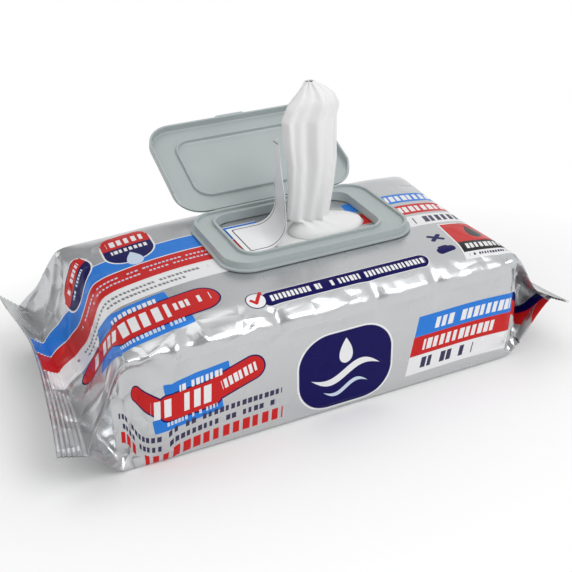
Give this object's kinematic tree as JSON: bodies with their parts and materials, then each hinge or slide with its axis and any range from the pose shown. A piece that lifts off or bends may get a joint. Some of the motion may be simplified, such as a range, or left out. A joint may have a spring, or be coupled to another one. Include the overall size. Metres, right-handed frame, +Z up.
{
  "type": "wet wipes pack",
  "caption": "Flow-wrapped pack of wet wipes with crimped ends, a hinged flip lid standing open, a peeled reseal label and a wipe pulled half out.",
  "frame": {"origin": "middle of the flat underside of the wrapped body", "axes": "+X along the pack towards the right-hand seal, +Y towards the hinge side, +Z up"},
  "size_m": [0.2522, 0.1611, 0.1333],
  "materials": {
    "printed_film": "silver metallised film with printed fields",
    "grey_plastic": "satin moulded, slightly translucent",
    "label_film": "white printed film",
    "wipe_cloth": "moist non-woven cloth"
  },
  "bodies": {
    "root": {"film_pouch": "printed_film", "wipe_stack": "wipe_cloth", "pulled_wipe": "wipe_cloth", "peel_label": "label_film", "lid_frame": "grey_plastic"},
    "lid": {"flip_lid": "grey_plastic"}
  },
  "joints": [
    {"name": "lid_hinge", "type": "hinge", "parent": "root", "child": "lid", "pos_m": [0.014, 0.038, 0.06605], "axis": [1, 0, 0], "range_deg": [-20, 158], "deforming": ["pulled_wipe", "peel_label"]}
  ]
}
